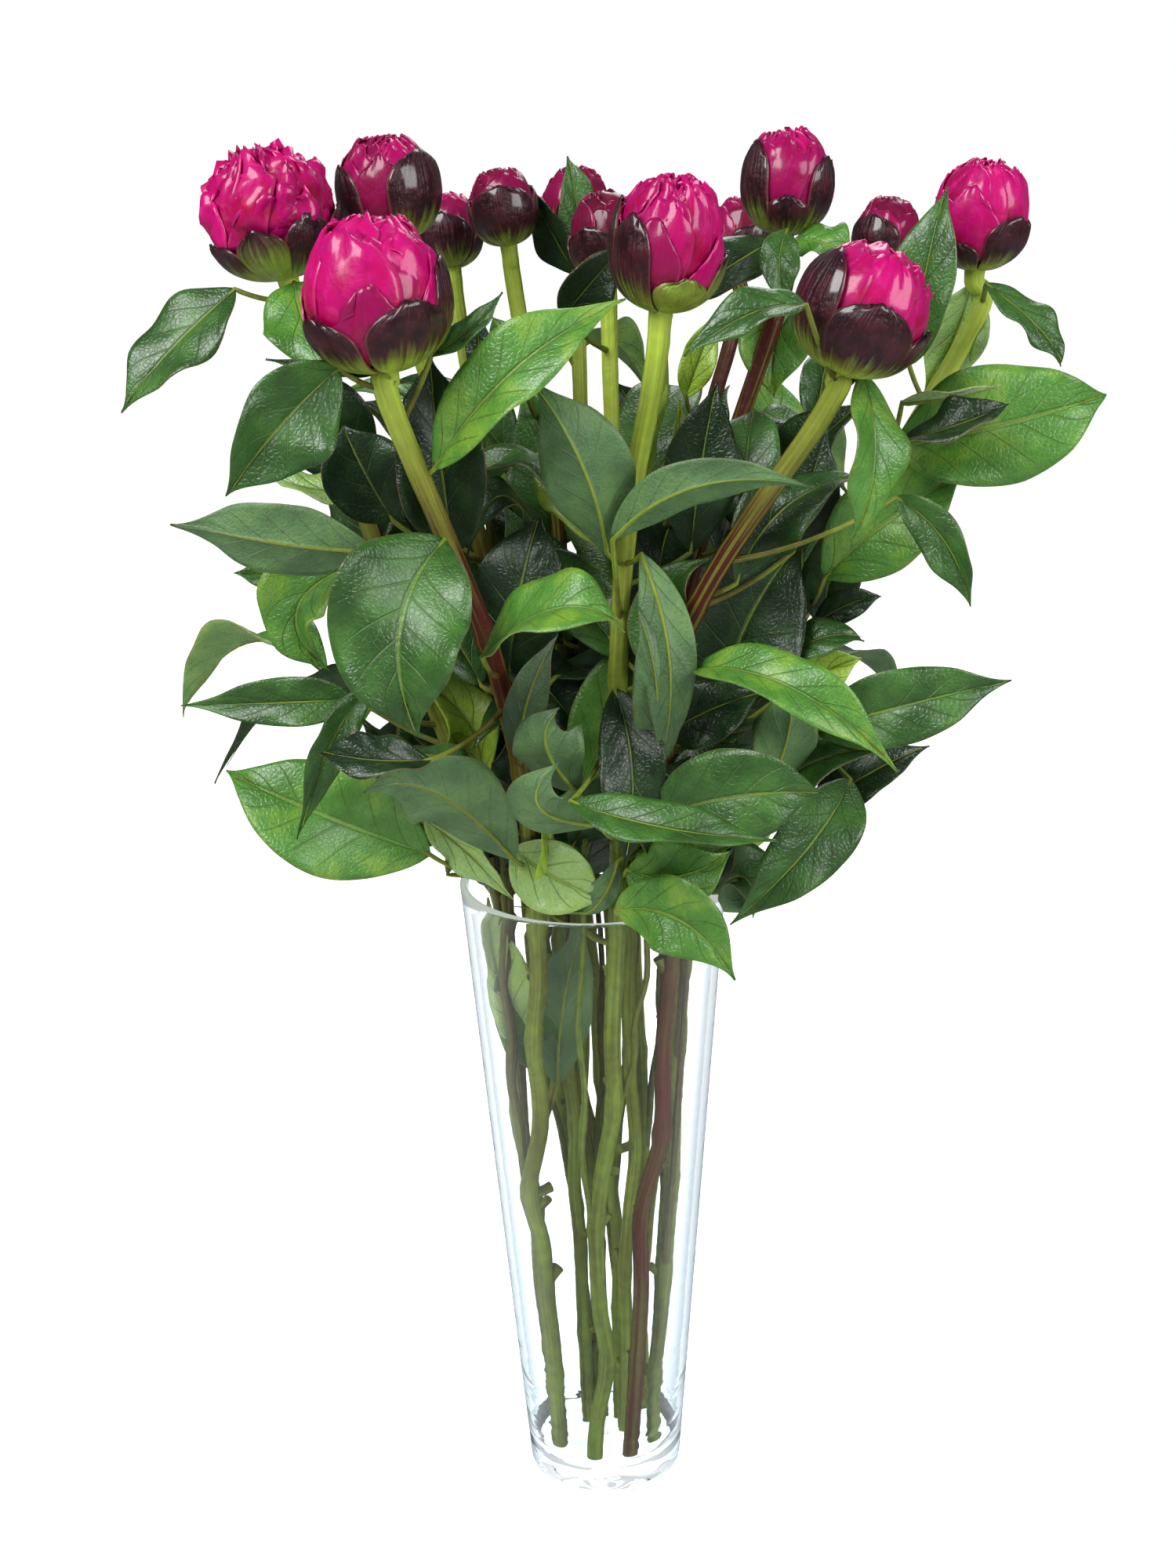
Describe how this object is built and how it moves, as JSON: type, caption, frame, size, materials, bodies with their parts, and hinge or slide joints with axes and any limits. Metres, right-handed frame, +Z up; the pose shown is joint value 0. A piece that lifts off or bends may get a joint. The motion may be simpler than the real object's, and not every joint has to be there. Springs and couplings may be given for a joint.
{
  "type": "peonies in a vase",
  "caption": "Bunch of cut peonies in tight bud, with leafy stems, standing in a tall plain conical glass vase.",
  "frame": {"origin": "middle of the flat underside of the vase, where it rests on the table", "axes": "+Z up along the vase's axis, front of the bouquet towards -Y, +X to the viewer's right"},
  "size_m": [0.3874, 0.3132, 0.6135],
  "materials": {
    "vase_glass": "clear polished soda-lime glass, faintly blue, bright rim",
    "leaf_green": "smooth semi-gloss living leaf and stem, paler and duller beneath, thin reddish margins",
    "petal_magenta": "velvety magenta to crimson petals with a soft sheen",
    "sepal_maroon": "glossy leathery sepals, near-black maroon running to green at the base"
  },
  "bodies": {
    "root": {"vase": "vase_glass", "front_left_stem": "leaf_green", "front_left_petals": "petal_magenta", "front_left_sepals": "sepal_maroon", "front_right_stem": "leaf_green", "front_right_petals": "petal_magenta", "front_right_sepals": "sepal_maroon", "centre_stem": "leaf_green", "centre_petals": "petal_magenta", "centre_sepals": "sepal_maroon", "far_left_stem": "leaf_green", "far_left_petals": "petal_magenta", "far_left_sepals": "sepal_maroon", "far_right_stem": "leaf_green", "far_right_petals": "petal_magenta", "far_right_sepals": "sepal_maroon", "upper_right_stem": "leaf_green", "upper_right_petals": "petal_magenta", "upper_right_sepals": "sepal_maroon", "left_stem": "leaf_green", "left_petals": "petal_magenta", "left_sepals": "sepal_maroon", "small_stem": "leaf_green", "small_petals": "petal_magenta", "small_sepals": "sepal_maroon", "behind_centre_stem": "leaf_green", "behind_centre_petals": "petal_magenta", "behind_centre_sepals": "sepal_maroon", "back_stem": "leaf_green", "back_petals": "petal_magenta", "back_sepals": "sepal_maroon", "back_left_stem": "leaf_green", "back_left_petals": "petal_magenta", "back_left_sepals": "sepal_maroon", "back_middle_stem": "leaf_green", "back_middle_petals": "petal_magenta", "back_middle_sepals": "sepal_maroon", "back_right_stem": "leaf_green", "back_right_petals": "petal_magenta", "back_right_sepals": "sepal_maroon"}
  },
  "joints": []
}
